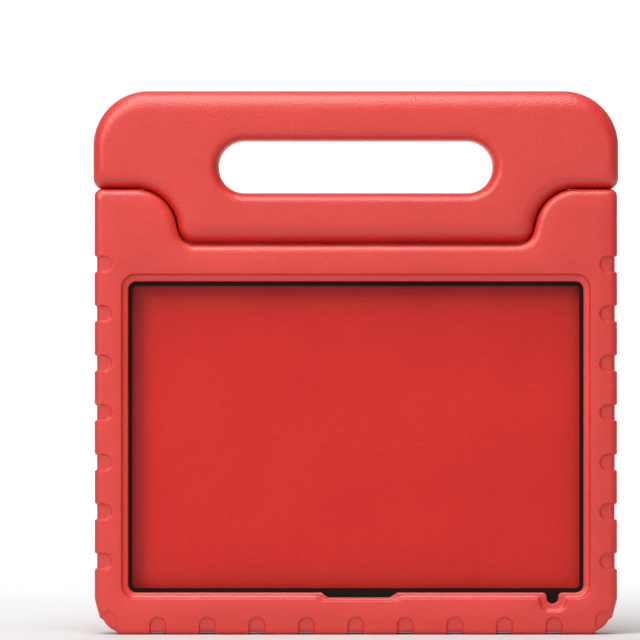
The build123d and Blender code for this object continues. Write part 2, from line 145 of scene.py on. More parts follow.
LEDGE_TOP_Z = 181.8
LEDGE_R = 6.0
BULGE_X = (94.3, 105.3)      # the ledge round the round notch
BULGE_Z = 13.3
DIP_TOP_X = (-20.2, 23.5)    # the ledge under the long notch
DIP_FLOOR_X = (-17.2, 20.5)
DIP_Z = 18.2
CAMERA_HOLE = (-111.0, 182.3)
CAMERA_HOLE_R = 4.8
CAMERA_FLARE = ((1.8, 8.0), (0.8, 9.0), (0.2, 10.2), (-0.3, 12.0))     # depth and radius
FIELD_DEPTH = 1.0            # of the shallow field on the case's back
TONGUE_EDGE = 3.0            # rounding at the sides and the end of the rear tongue
# Half width, bottom, top and corner radius
POCKET = (122.0, 12.1, 188.5, 9.0)
BACK_FIELD = (112.5, 20.0, 178.5, 14.5)
HAND_HOLE = (69.7, 223.9, 250.5, 13.3)


# ---- Outlines

Corner = namedtuple("Corner", "x z radius growth steps")
Side = namedtuple("Side", "width depth pieces marks")
Level = namedtuple("Level", "y shift extra dip tilt")
SHARPEST = 0.05              # smallest corner radius


def corner(x, z, radius, growth=-1.0, steps=8):
    """A corner of an outline. Its radius changes by growth for each millimetre of inset."""
    return Corner(x, z, radius, growth, steps)


def side(width=0.0, depth=0.0, pieces=1, marks=()):
    """A side of an outline: the width and depth of its rounding, and where its points lie."""
    return Side(width, depth, pieces, marks)


def level(y, shift=0.0, extra=0.0, dip=0.0, tilt=0.0):
    """One ring of a stack. Sides move in by width * shift + extra, and back by depth * dip."""
    return Level(y, shift, extra, dip, tilt)


class Outline:
    """A closed outline in X and Z, clockwise as seen from the front."""

    def __init__(self, corners, sides):
        """Each side runs from the corner of the same index to the next corner."""
        self.corners = corners
        self.sides = sides

    def ring(self, at):
        """The outline's points at one level, as rows of x, y and z."""
        lines = []
        for index, (start, edge) in enumerate(zip(self.corners, self.sides)):
            end = self.corners[(index + 1) % len(self.corners)]
            length = hypot(end.x - start.x, end.z - start.z)
            ahead = np.array((end.x - start.x, end.z - start.z)) / length
            inward = np.array((ahead[1], -ahead[0]))
            shift = edge.width * at.shift + at.extra
            lines.append((np.array((start.x, start.z)) + inward * shift, ahead, shift,
                          edge.depth * at.dip))
        arcs = [self.arc(self.corners[index], lines[index - 1], lines[index])
                for index in range(len(lines))]
        points = []
        for index, arc in enumerate(arcs):
            points.extend(arc)
            next_arc = arcs[(index + 1) % len(arcs)]
            points.extend(self.straight(self.sides[index], arc[-1], next_arc[0]))
        ring = np.array(points)
        ring[:, 1] += at.y
        return ring

    @staticmethod
    def arc(at, before, after):
        """Points round one corner, between the lines of the sides before and after it."""
        start, incoming, shift_before, dip_before = before
        end, outgoing, shift_after, dip_after = after
        cross = incoming[0] * outgoing[1] - incoming[1] * outgoing[0]
        gap = end - start
        vertex = start + incoming * (gap[0] * outgoing[1] - gap[1] * outgoing[0]) / cross
        turn = atan2(cross, incoming @ outgoing)
        radius = max(at.radius + at.growth * (shift_before + shift_after) / 2, SHARPEST)
        normal = np.array((-incoming[1], incoming[0])) * copysign(1, turn)
        centre = vertex - incoming * radius * tan(abs(turn) / 2) + normal * radius
        points = []
        for step in range(at.steps + 1):
            share = step / at.steps
            c, s = cos(turn * share), sin(turn * share)
            points.append(np.array((
                centre[0] - radius * (normal[0] * c - normal[1] * s),
                dip_before + (dip_after - dip_before) * share,
                centre[1] - radius * (normal[0] * s + normal[1] * c))))
        return points

    @staticmethod
    def straight(edge, start, end):
        """Points inside one side: evenly spaced, or at marks along X or Z."""
        shares = [step / edge.pieces for step in range(1, edge.pieces)]
        if edge.marks:
            axis = 0 if abs(end[0] - start[0]) > abs(end[2] - start[2]) else 2
            run = end[axis] - start[axis]
            shares = sorted(min(max((mark - start[axis]) / run, 0.0), 1.0) for mark in edge.marks)
        return [start + (end - start) * share for share in shares]


def mirrored(corners, sides):
    """An outline from its right half. The first and last sides cross the middle."""
    left = [corner(-c.x, c.z, c.radius, c.growth, c.steps) for c in reversed(corners)]
    return Outline(corners + left, sides[1:] + sides[-2::-1])


def box_outline(half_width, bottom, top, radius, edge, steps=8):
    """A rectangle with round corners, centred on x = 0."""
    corners = [corner(half_width, top, radius, steps=steps),
               corner(half_width, bottom, radius, steps=steps)]
    return mirrored(corners, [edge, edge, edge])


# ---- Levels

ROUND_STEPS = 10
PARTING_ROUND = ((0.0, 0.35), (0.08, 0.12), (0.3, 0.0))     # distance from the joint, inset


def parting(y, toward):
    """Levels of the small rounding where two foam pieces meet, from the joint outwards."""
    return [level(y - toward * away, extra=inset) for away, inset in PARTING_ROUND]


def rounding(face, toward, outward=1, crown=0.0):
    """Levels of an edge rounding, from the wall to the face. A hole's edge goes outward -1.

    The crown is the share of the rounding's depth that is left for the face beyond it.
    """
    tilts = [pi / 2 * step / ROUND_STEPS for step in range(ROUND_STEPS + 1)]
    return [level(face, outward * (1 - cos(tilt)), 0.0,
                  toward * (1 - sin(tilt) * (1 - crown)), tilt) for tilt in tilts]


def smooth_step(share):
    """A share from 0 to 1, eased at both ends."""
    return share * share * (3 - 2 * share)


def step_down(outline, face_y, floor_y, steps=8):
    """Rings of a soft step from the face down to a floor, at the outline's inner edge."""
    shares = [step / steps for step in range(steps + 1)]
    return [outline.ring(level(face_y + (floor_y - face_y) * smooth_step(share), share - 1))
            for share in shares]


# ---- Meshes

class Skin:
    """Points and faces of one piece, in millimetres."""

    def __init__(self):
        self.points = []
        self.faces = []

    def add(self, ring):
        """Add a ring's points. Gives back their indices."""
        first = len(self.points)
        self.points.extend(tuple(point) for point in ring)
        return list(range(first, first + len(ring)))

    def band(self, rings):
        """Quads from ring to ring. Gives back the first and the last ring's indices."""
        loops = [self.add(ring) for ring in rings]
        for near, far in zip(loops, loops[1:]):
            for index in range(len(near)):
                after = (index + 1) % len(near)
                self.faces.append((near[index], near[after], far[after], far[index]))
        return loops[0], loops[-1]

    def fill(self, outer, *holes):
        """Triangles between a loop and the loops inside it."""
        loops = (outer,) + holes
        indices = [index for loop in loops for index in loop]
        flat = [Vector((self.points[index][0], self.points[index][2])) for index in indices]
        edges = []
        first = 0
        for loop in loops:
            count = len(loop)
            edges.extend((first + k, first + (k + 1) % count) for k in range(count))
            first += count
        result = delaunay_2d_cdt(flat, edges, [], 1, 1e-5)
        middles = [sum((result[0][k] for k in triangle), Vector((0, 0))) / 3
                   for triangle in result[2]]
        kept = enclosed(np.array(middles), np.array(flat)[np.array(edges)])
        sources = result[3]
        for triangle, keep in zip(result[2], kept):
            if keep:
                self.faces.append(tuple(indices[sources[k][0]] for k in triangle))

    def object(self, name):
        """The finished mesh object, in metres."""
        mesh = bpy.data.meshes.new(name)
        mesh.from_pydata([Vector(point) * MM for point in self.points], [], self.faces)
        clean(mesh)
        made = bpy.data.objects.new(name, mesh)
        bpy.context.scene.collection.objects.link(made)
        return made


def enclosed(points, edges):
    """Whether each point lies inside an odd number of the loops made by the edges."""
    x, z = points[:, 0, None], points[:, 1, None]
    (x0, z0), (x1, z1) = edges[:, 0].T, edges[:, 1].T
    spans = (z0 > z) != (z1 > z)
    rise = np.where(z1 == z0, 1.0, z1 - z0)
    crosses = spans & (x < x0 + (x1 - x0) * (z - z0) / rise)
    return crosses.sum(axis=1) % 2 == 1


def clean(mesh):
    """Merge doubled points, drop faces without area and turn all faces outwards."""
    editing = bmesh.new()
    editing.from_mesh(mesh)
    bmesh.ops.remove_doubles(editing, verts=editing.verts, dist=3e-6)
    bmesh.ops.dissolve_degenerate(editing, edges=editing.edges, dist=1e-6)
    bmesh.ops.recalc_face_normals(editing, faces=editing.faces)
    editing.to_mesh(mesh)
    editing.free()


def combine(piece, tool, operation):
    """Union with the tool, or difference from it. The tool is used up."""
    modifier = piece.modifiers.new("combine", "BOOLEAN")
    modifier.operation = operation
    modifier.solver = "EXACT"
    modifier.object = tool
    shown = piece.evaluated_get(bpy.context.evaluated_depsgraph_get())
    mesh = bpy.data.meshes.new_from_object(shown)
    piece.modifiers.clear()
    piece.data = mesh
    bpy.data.objects.remove(tool)


def lathe(skin, profile, origin=(0.0, 0.0, AXIS_Z), along="x", start=0.0, turn=2 * pi,
          steps=72):
    """A solid turned about a line along X or Y, from a closed profile of (place, radius)."""
    rings = []
    for step in range(steps + 1):
        angle = start + turn * step / steps
        ring = []
        for place, radius in profile:
            across = radius * cos(angle)
            offset = (place, across) if along == "x" else (across, place)
            ring.append((origin[0] + offset[0], origin[1] + offset[1],
                         origin[2] + radius * sin(angle)))
        rings.append(ring)
    first, last = skin.band(rings)
    if turn < 2 * pi:
        skin.faces.append(tuple(first))
        skin.faces.append(tuple(reversed(last)))


def prism(skin, profile, x_from, x_to):
    """A solid along X from a closed profile of (y, z)."""
    near, far = skin.band([[(x, y, z) for y, z in profile] for x in (x_from, x_to)])
    skin.faces.append(tuple(near))
    skin.faces.append(tuple(reversed(far)))


def arc_points(centre, radius, start_deg, turn_deg, steps=8):
    """Points on an arc, from start_deg through turn_deg."""
    angles = [radians(start_deg + turn_deg * step / steps) for step in range(steps + 1)]
    return [(centre[0] + radius * cos(angle), centre[1] + radius * sin(angle))
            for angle in angles]


def both_sides(profile):
    """A (place, radius) profile along X and its mirror image."""
    return profile, [(-place, radius) for place, radius in profile]


# ---- Case

def groove_marks(centres):
    """Where a side needs points: close together over each groove, and a few between them."""
    marks = []
    for centre in centres:
        marks.extend(centre + GROOVE_MARK_STEP * step for step in range(-13, 14))
        marks.extend(centre + GROOVE_PITCH / 2 + REST_MARK_STEP * step for step in (-1, 0, 1))
    return marks


def groove_share(ring):
    """How far each point of a ring lies in a groove, from 0 outside to 1 on the floor."""
    x = np.abs(ring[:, 0])
    z = ring[:, 2]
    inner = GROOVE_REACH - (GROOVE_RIM_R + GROOVE_FLOOR_R) / 2
    rays = [(HALF_WIDTH - inner, centre, 1.0, 0.0) for centre in SIDE_GROOVES]
    rays += [(centre, inner, 0.0, -1.0) for centre in BOTTOM_GROOVES]
    rays.append((*CORNER_GROOVE, 0.0, -1.0))
    nearest = np.full(len(ring), HALF_WIDTH)
    for centre_x, centre_z, ahead_x, ahead_z in rays:
        along = (x - centre_x) * ahead_x + (z - centre_z) * ahead_z
        across = np.abs((x - centre_x) * ahead_z - (z - centre_z) * ahead_x)
        distance = np.where(along > 0, across, np.hypot(x - centre_x, z - centre_z))
        nearest = np.minimum(nearest, distance)
    share = np.clip((GROOVE_RIM_R - nearest) / (GROOVE_RIM_R - GROOVE_FLOOR_R), 0, 1)
    return smooth_step(share)


def case_outline(gap=SEAM_HALF_GAP):
    """The case seen from the front, with its top at the given distance from the seam."""
    corners = [
        corner(SEAT_X + gap, SEAT_Z - gap, SEAT_R + gap, growth=1.0, steps=16),
        corner(SHOULDER_X + gap, SHOULDER_Z - gap, SHOULDER_R - gap, steps=24),
        corner(HALF_WIDTH, SHOULDER_Z - gap, HORN_CORNER_R, growth=0.0),
        corner(HALF_WIDTH, FOOT_TOP_Z, FOOT_TOP_R),
        corner(HALF_WIDTH - FOOT_INSET, 0.0, FOOT_BOTTOM_R, steps=48),
    ]
    sides = [
        side(*SEAM_EDGE, 24),
        side(*SEAM_EDGE, 12),
        side(*HORN_EDGE, 6),
        side(*CASE_EDGE, marks=groove_marks(SIDE_GROOVES) + HORN_MARKS),
        side(*CASE_EDGE, 8),
        side(*CASE_EDGE, marks=groove_marks(BOTTOM_GROOVES)),
    ]
    return mirrored(corners, sides)


def grooved(outline, at, toward):
    """One ring of the case with its grooves pressed in."""
    sunk = at._replace(y=at.y + toward * GROOVE_DEPTH * sin(at.tilt),
                       extra=at.extra + GROOVE_DEPTH * cos(at.tilt))
    plain = outline.ring(at)
    share = groove_share(plain)[:, None]
    return plain + (outline.ring(sunk) - plain) * share


def ridge_levels(outline, ridge, y_from, y_to):
    """Pairs of outline and level for a low ridge along the seam."""
    slope = copysign(RIDGE_SLOPE, y_to - y_from)
    return [(outline, level(y_from)), (ridge, level(y_from + slope)),
            (ridge, level(y_to - slope)), (outline, level(y_to))]


def case_rings(face, toward, ridge=()):
    """Rings from the joint of the two case pieces, round the edge and in over a face."""
    outline = case_outline()
    brim = [level(face, 1.0, inset, toward * CROWN * (1 - inset / BRIM_WIDTH) ** 2, pi / 2)
            for inset in BRIM_WIDTH * np.arange(1, BRIM_STEPS + 1) / BRIM_STEPS]
    stack = [(outline, at) for at in parting(PARTING_Y, toward)]
    stack += ridge
    stack += [(outline, at) for at in rounding(face, toward, crown=CROWN) + brim]
    return [grooved(shape, at, toward) for shape, at in stack]


def ledge_outline():
    """The step round the window, which dips under both notches."""
    slope = side(1.5, 0.0, 8)
    wide_slope = side(2.2, 0.0, 8)
    mouth_r, bulge_r, dip_r = 2.3, 3.5, 2.0
    corners = [
        corner(-LEDGE_HALF_WIDTH, LEDGE_TOP_Z, LEDGE_R),
        corner(LEDGE_HALF_WIDTH, LEDGE_TOP_Z, LEDGE_R),
        corner(LEDGE_HALF_WIDTH, LEDGE_BOTTOM_Z, LEDGE_R),
        corner(BULGE_X[1], LEDGE_BOTTOM_Z, mouth_r, growth=1.0),
        corner(BULGE_X[1], BULGE_Z, bulge_r, steps=12),
        corner(BULGE_X[0], BULGE_Z, bulge_r, steps=12),
        corner(BULGE_X[0], LEDGE_BOTTOM_Z, mouth_r, growth=1.0),
        corner(DIP_TOP_X[1], LEDGE_BOTTOM_Z, dip_r, growth=1.0),
        corner(DIP_FLOOR_X[1], DIP_Z, dip_r),
        corner(DIP_FLOOR_X[0], DIP_Z, dip_r),
        corner(DIP_TOP_X[0], LEDGE_BOTTOM_Z, dip_r, growth=1.0),
        corner(-LEDGE_HALF_WIDTH, LEDGE_BOTTOM_Z, LEDGE_R),
    ]
    return Outline(corners, [slope] * 3 + [wide_slope] * 3 + [slope] * 6)


def window_outline():
    """The window with its long notch and its small round notch."""
    lip = side(1.4, 1.2, 8)
    notch = side(0.5, 0.5, 3)
    round_mouth_r, long_mouth_r, long_floor_r = 2.0, 1.6, 0.8
    corners = [
        corner(-WINDOW_HALF_WIDTH, WINDOW_TOP_Z, WINDOW_R),
        corner(WINDOW_HALF_WIDTH, WINDOW_TOP_Z, WINDOW_R),
        corner(WINDOW_HALF_WIDTH, WINDOW_BOTTOM_Z, WINDOW_R),
        corner(ROUND_NOTCH_X[1], WINDOW_BOTTOM_Z, round_mouth_r, growth=1.0),
        corner(ROUND_NOTCH_X[1], ROUND_NOTCH_Z, ROUND_NOTCH_R),
        corner(ROUND_NOTCH_X[0], ROUND_NOTCH_Z, ROUND_NOTCH_R),
        corner(ROUND_NOTCH_X[0], WINDOW_BOTTOM_Z, round_mouth_r, growth=1.0),
        corner(LONG_NOTCH_TOP_X[1], WINDOW_BOTTOM_Z, long_mouth_r, growth=1.0),
        corner(LONG_NOTCH_FLOOR_X[1], LONG_NOTCH_Z, long_floor_r),
        corner(LONG_NOTCH_FLOOR_X[0], LONG_NOTCH_Z, long_floor_r),
        corner(LONG_NOTCH_TOP_X[0], WINDOW_BOTTOM_Z, long_mouth_r, growth=1.0),
        corner(-WINDOW_HALF_WIDTH, WINDOW_BOTTOM_Z, WINDOW_R),
    ]
    sides = [lip] * 3 + [notch] * 3 + [lip] + [notch] * 3 + [lip] * 2
    return Outline(corners, sides)


def case_front():
    """The foam frame round the window, with its ledge, lip and grooves."""
    skin = Skin()
    joint, face = skin.band(case_rings(FRONT_Y, 1))
    brow, crease = skin.band(step_down(ledge_outline(), FRONT_Y, LEDGE_Y))
    skin.fill(face, brow)
    window = window_outline()
    lip = [window.ring(at) for at in reversed(rounding(LEDGE_Y + LEDGE_FALL, 1, outward=-1))]
    lip.append(window.ring(level(PARTING_Y)))
    rim, back = skin.band(lip)
    skin.fill(crease, rim)
    skin.fill(joint, back)
    return skin.object("case_front")


def seat_room():
    """Space that the tongue turns in, with the slope behind it that lets the handle fold."""
    radius = HUB_R + HUB_CLEARANCE
    profile = arc_points((0.0, AXIS_Z), radius, 180, 90 - RELIEF_DEG, 24)
    slope = tan(radians(RELIEF_DEG))
    start_y, start_z = profile[-1]
    half_turn = radians((90 - RELIEF_DEG) / 2)
    edge_z = start_z - slope * (CASE_BACK_Y - start_y) - RELIEF_EDGE_R * tan(half_turn)
    profile += arc_points((CASE_BACK_Y - RELIEF_EDGE_R, edge_z), RELIEF_EDGE_R,
                          90 - RELIEF_DEG, RELIEF_DEG - 90)
    profile += [(CASE_BACK_Y, edge_z - 1.0), (BEYOND_Y, edge_z - 1.0),
                (BEYOND_Y, TOP_Z), (-radius, TOP_Z)]
    return profile


def behind(bottom):
    """A profile of the space behind the joint plane, above the given height."""
    return [(0.0, bottom), (BEYOND_Y, bottom), (BEYOND_Y, TOP_Z), (0.0, TOP_Z)]


def case_spaces():
    """What is taken from the tray round the hinge, one tool after the other."""
    room = Skin()
    prism(room, seat_room(), -SEAT_END_X, SEAT_END_X)
    above = Skin()
    prism(above, behind(AXIS_Z), -2 * HALF_WIDTH, 2 * HALF_WIDTH)
    start = SEAT_END_X - 1.0
    necks = Skin()
    for x_from, x_to in ((start, NECK_END_X), (-NECK_END_X, -start)):
        prism(necks, behind(AXIS_Z - NECK_DROP), x_from, x_to)
    mouth_x = HALF_WIDTH - 1.0
    outside_x = HALF_WIDTH + 2.0
    bore = [(start, 0.0), (start, TIP_BORE_R), (TIP_BORE_END_X, TIP_BORE_R),
            (TIP_BORE_END_X, HORN_BORE_R), (mouth_x, HORN_BORE_R),
            (mouth_x, PLUG_R), (outside_x, PLUG_R), (outside_x, 0.0)]
    openings = Skin()
    for profile in both_sides(bore):
        lathe(openings, profile)
    flared_hole(openings)
    port_slot(openings)
    return [room.object("room"), above.object("above"), necks.object("necks"),
            openings.object("openings")]


def flared_hole(skin):
    """The rear camera's hole, which widens to the back and has a round edge there."""
    start_y = PAD_LOW.y - 3.0
    throat_y = PAD_HIGH.y + 1.0
    profile = [(start_y, 0.0), (start_y, CAMERA_HOLE_R), (throat_y, CAMERA_HOLE_R)]
    profile += [(CASE_BACK_Y - depth, radius) for depth, radius in CAMERA_FLARE]
    profile.append((profile[-1][0], 0.0))
    lathe(skin, profile, (CAMERA_HOLE[0], 0.0, CAMERA_HOLE[1]), "y")


def port_slot(skin):
    """Charging-port slot in the right wall, with a round mouth."""
    middle_y, middle_z = -4.2, 100.4
    straight, radius = 3.5, 3.0
    mouth = ((PAD_HIGH.x - 2.0, 0.0), (HALF_WIDTH - 1.4, 0.0), (HALF_WIDTH - 0.6, 0.3),
             (HALF_WIDTH - 0.1, 1.0), (HALF_WIDTH + 0.3, 2.0))
    rings = []
    for x, growth in mouth:
        top = arc_points((middle_y, middle_z + straight), radius + growth, 0, 180, 16)
        bottom = arc_points((middle_y, middle_z - straight), radius + growth, 180, 180, 16)
        rings.append([(x, y, z) for y, z in top + bottom])
    near, far = skin.band(rings)
    skin.faces.append(tuple(near))
    skin.faces.append(tuple(reversed(far)))


def horn_barrels():
    """The round backs of the horns with their thinner necks, bored through for the hinge."""
    skin = Skin()
    recess_r = 7.2
    socket_r = 8.55
    plug_bore_r = PLUG_R + 0.05
    rim = HORN_CORNER_R
    inner_rim = 0.5
    mouth_rim = 0.8
    bevel = 0.2
    profile = [(TIP_BORE_END_X, recess_r), (TIP_BORE_END_X, TIP_BORE_R),
               (NECK_START_X, TIP_BORE_R), (NECK_START_X, NECK_R - bevel),
               (NECK_START_X + bevel, NECK_R), (HUB_START_X, NECK_R)]
    profile += arc_points((HUB_START_X + inner_rim, HUB_R - inner_rim), inner_rim, 180, -90)
    profile += arc_points((HALF_WIDTH - rim, HUB_R - rim), rim, 90, -90)
    profile += arc_points((HALF_WIDTH - mouth_rim, plug_bore_r + mouth_rim), mouth_rim, 0, -90, 4)
    profile += [(SOCKET_HIGH.x, plug_bore_r), (SOCKET_HIGH.x, socket_r),
                (SOCKET_LOW.x, socket_r), (SOCKET_LOW.x, recess_r)]
    buried = 0.1             # how far the half barrels reach into the front, in radians
    for shape in both_sides(profile):
        lathe(skin, shape, start=-pi / 2 - buried, turn=pi + 2 * buried)
    return skin.object("barrels")


def seam_stops():
    """Blocks behind the sloping seam, beside the tongue, that no light passes."""
    skin = Skin()
    start = SEAT_END_X - 0.5
    bottom = SEAT_Z - 3.0
    front, back = 0.3, CASE_BACK_Y - 4.0
    profile = [(front, bottom), (back, bottom), (back, AXIS_Z), (front, AXIS_Z)]
    for x_from, x_to in ((start, TIP_BORE_END_X), (-TIP_BORE_END_X, -start)):
        prism(skin, profile, x_from, x_to)
    return skin.object("seam_stops")


def case_tray():
    """The foam tray with its pocket, its back field and its horns."""
    skin = Skin()
    ridge = ridge_levels(case_outline(), case_outline(SEAM_HALF_GAP - SEAM_RIDGE), *TRAY_RIDGE_Y)
    joint, face = skin.band(case_rings(CASE_BACK_Y, -1, ridge))
    pocket = box_outline(*POCKET, side(pieces=8))
    mouth, floor = skin.band([pocket.ring(level(y)) for y in (PARTING_Y, PAD_HIGH.y)])
    skin.fill(joint, mouth)
    skin.fill(floor)
    field = box_outline(*BACK_FIELD, side(2.0, 0.0, 16), steps=16)
    brow, bed = skin.band(step_down(field, CASE_BACK_Y, CASE_BACK_Y - FIELD_DEPTH))
    skin.fill(face, brow)
    skin.fill(bed)
    tray = skin.object("case_tray")
    combine(tray, seam_stops(), "UNION")
    for tool in case_spaces():
        combine(tray, tool, "DIFFERENCE")
    combine(tray, horn_barrels(), "UNION")
    clean(tray.data)
    return tray


def pad_panel():
    """Soft panel in the floor of the pocket, a little fuller in its middle."""
    corner_r = 8.9
    outline = box_outline(PAD_HIGH.x, PAD_LOW.z, PAD_HIGH.z, corner_r, side(1.2, 1.2, 16))
    crown = 0.6
    insets = (1.0, 2.0, 4.0, 7.0, 11.0, 16.0, 22.0, 30.0, 40.0)
    levels = [level(PAD_HIGH.y)] + rounding(PAD_LOW.y, 1)
    for inset in insets:
        rise = 1 - (1 - inset / insets[-1]) ** 2
        levels.append(level(PAD_LOW.y - crown * rise, 1.0, inset, tilt=pi / 2))
    skin = Skin()
    back, middle = skin.band([outline.ring(at) for at in levels])
    skin.fill(back)
    skin.fill(middle)
    panel = skin.object("pad_panel")
    hole = Skin()
    flared_hole(hole)
    combine(panel, hole.object("hole"), "DIFFERENCE")
    return panel


# ---- Handle

HOLE_OUTLINE = box_outline(*HAND_HOLE, side(5.5, 7.0, 16), steps=16)
HANDLE_TOP = side(11.0, 9.0, 24)


def handle_corners(gap):
    """The right corners that both halves of the handle share."""
    return [corner(HANDLE_HALF_WIDTH, TOP_Z, 28.0, steps=24),
            corner(HANDLE_HALF_WIDTH, SHOULDER_Z + gap, 5.0, growth=-0.2, steps=12)]


def handle_half(skin, outline, face, toward, ridge=()):
    """One half of the handle from the joint to its face, with the hand hole."""
    stack = [(outline, at) for at in parting(0.0, toward)]
    stack += ridge
    stack += [(outline, at) for at in rounding(face, toward)]
    joint, rim = skin.band([shape.ring(at) for shape, at in stack])
    hole_levels = list(reversed(rounding(face, toward, outward=-1)))
    hole_levels += [at._replace(extra=-at.extra) for at in reversed(parting(0.0, toward))]
    lip, throat = skin.band([HOLE_OUTLINE.ring(at) for at in hole_levels])
    skin.fill(rim, lip)
    skin.fill(joint, throat)


def handle_front_outline(gap=SEAM_HALF_GAP):
    """The handle seen from the front, with its tongue at the given distance from the seam."""
    corners = handle_corners(gap) + [
        corner(SHOULDER_X - gap, SHOULDER_Z + gap, SHOULDER_R + gap, growth=1.0, steps=24),
        corner(SEAT_X - gap, SEAT_Z + gap, SEAT_R - gap, growth=-0.5, steps=16),
    ]
    sides = [
        HANDLE_TOP,
        side(6.0, 7.0, 12),      # down the end
        side(8.0, 9.0, 8),       # over the horn
        side(8.5, 8.0, 8),       # down beside the tongue
        side(11.0, 12.0, 24),    # under the tongue
    ]
    return mirrored(corners, sides)


def handle_front():
    """The front of the handle, with the tongue that follows the seam."""
    outline = handle_front_outline()
    raised = handle_front_outline(SEAM_HALF_GAP - SEAM_RIDGE)
    ridge = ridge_levels(outline, raised, *HANDLE_RIDGE_Y)
    skin = Skin()
    handle_half(skin, outline, FRONT_Y, 1, ridge)
    piece = skin.object("handle_front")
    start = TONGUE_HALF_WIDTH
    hub_r = HUB_R + HUB_CLEARANCE
    hub_x = HUB_START_X - SLIT
    horn_room = [(start, 0.0), (start, NECK_ROOM_R), (hub_x, NECK_ROOM_R),
                 (hub_x, hub_r), (2 * HALF_WIDTH, hub_r), (2 * HALF_WIDTH, 0.0)]
    room = Skin()
    for profile in both_sides(horn_room):
        lathe(room, profile)
    combine(piece, room.object("horn_room"), "DIFFERENCE")
    clean(piece.data)
    return piece


def handle_rear():
    """The back of the handle: a straight-sided tongue over a round end about the hinge."""
    half_width = TONGUE_HALF_WIDTH
    edge = TONGUE_EDGE
    corners = handle_corners(SEAM_HALF_GAP) + [
        corner(half_width, SHOULDER_Z + SEAM_HALF_GAP, 3.0, growth=1.0, steps=12),
        corner(half_width, AXIS_Z, 0.0, steps=1),
    ]
    shoulder = side(8.0, 8.0, 12)
    sides = [HANDLE_TOP, shoulder, shoulder, side(edge, edge, 4), side(0.0, edge, 24)]
    skin = Skin()
    handle_half(skin, mirrored(corners, sides), HANDLE_BACK_Y, -1)
    piece = skin.object("handle_rear")
    barrel = Skin()
    profile = [(-half_width, 0.0)]
    profile += arc_points((edge - half_width, HUB_R - edge), edge, 180, -90)
    profile += arc_points((half_width - edge, HUB_R - edge), edge, 90, -90)
    profile.append((half_width, 0.0))
    lathe(barrel, profile, start=-pi / 2, turn=pi / 2, steps=24)
    combine(piece, barrel.object("barrel"), "UNION")
    clean(piece.data)
    return piece


# ---- Materials

def node(tree, kind, inputs=None, **settings):
    """Add a shader node. Inputs are values or the outputs that feed them."""
    made = tree.nodes.new(kind)
    for name, value in settings.items():
        setattr(made, name, value)
    for name, value in (inputs or {}).items():
        if isinstance(value, bpy.types.NodeSocket):
            tree.links.new(value, made.inputs[name])
        else:
            made.inputs[name].default_value = value
    return made


def new_material(name):
    """A material with an empty shader, and the place on the object that feeds its textures."""
    material = bpy.data.materials.new(name)
    material.use_nodes = True
    tree = material.node_tree
    tree.nodes.clear()
    shader = node(tree, "ShaderNodeBsdfPrincipled")
    output = node(tree, "ShaderNodeOutputMaterial")
    tree.links.new(shader.outputs["BSDF"], output.inputs["Surface"])
    place = node(tree, "ShaderNodeTexCoord").outputs["Object"]
    return material, tree, shader, place


def ranged(tree, value, low, high):
    """A 0 to 1 value spread between low and high."""
    spread = node(tree, "ShaderNodeMapRange", {"Value": value, "To Min": low, "To Max": high})
    return spread.outputs["Result"]


def blended(tree, share, first, second):
    """A colour between two, by a 0 to 1 share."""
    mix = node(tree, "ShaderNodeMix", {"Factor": share, "A": first, "B": second},
               data_type="RGBA")
    return next(out for out in mix.outputs if out.type == "RGBA")


def foam(name, light, dark, grain=1.0, gloss=0.9):
    """Moulded foam with a leather-like skin: pebbles, fine wrinkles and a slight mottle."""
    material, tree, shader, place = new_material(name)
    mapping = node(tree, "ShaderNodeMapping", {"Vector": place, "Scale": (1.0, 1.0, 2.2)})
    stretched = mapping.outputs["Vector"]
    cloud = node(tree, "ShaderNodeTexNoise", {"Vector": place, "Scale": 22.0, "Detail": 3.0})
    mottle = node(tree, "ShaderNodeTexNoise", {"Vector": stretched, "Scale": 420.0, "Detail": 3.0})
    blend = node(tree, "ShaderNodeMath", {0: cloud.outputs["Fac"], 1: mottle.outputs["Fac"]},
                 operation="MULTIPLY").outputs["Value"]
    share = node(tree, "ShaderNodeMapRange", {"Value": blend, "From Min": 0.12, "From Max": 0.4})
    colour = blended(tree, share.outputs["Result"], dark, light)
    tree.links.new(colour, shader.inputs["Base Color"])
    pebbles = node(tree, "ShaderNodeTexVoronoi", {"Vector": stretched, "Scale": 900.0},
                   feature="SMOOTH_F1")
    creases = node(tree, "ShaderNodeTexNoise",
                   {"Vector": stretched, "Scale": 520.0, "Detail": 5.0, "Roughness": 0.6})
    swell = node(tree, "ShaderNodeTexNoise", {"Vector": place, "Scale": 60.0, "Detail": 2.0})
    height = node(tree, "ShaderNodeMath",
                  {0: pebbles.outputs["Distance"], 1: creases.outputs["Fac"]},
                  operation="ADD").outputs["Value"]
    fine = node(tree, "ShaderNodeBump",
                {"Height": height, "Strength": 0.5 * grain, "Distance": 0.0003})
    broad = node(tree, "ShaderNodeBump", {"Height": swell.outputs["Fac"], "Strength": 0.3,
                                          "Distance": 0.0008, "Normal": fine.outputs["Normal"]})
    tree.links.new(broad.outputs["Normal"], shader.inputs["Normal"])
    shader.inputs["Specular IOR Level"].default_value = gloss
    tree.links.new(ranged(tree, creases.outputs["Fac"], 0.34, 0.46), shader.inputs["Roughness"])
    return material


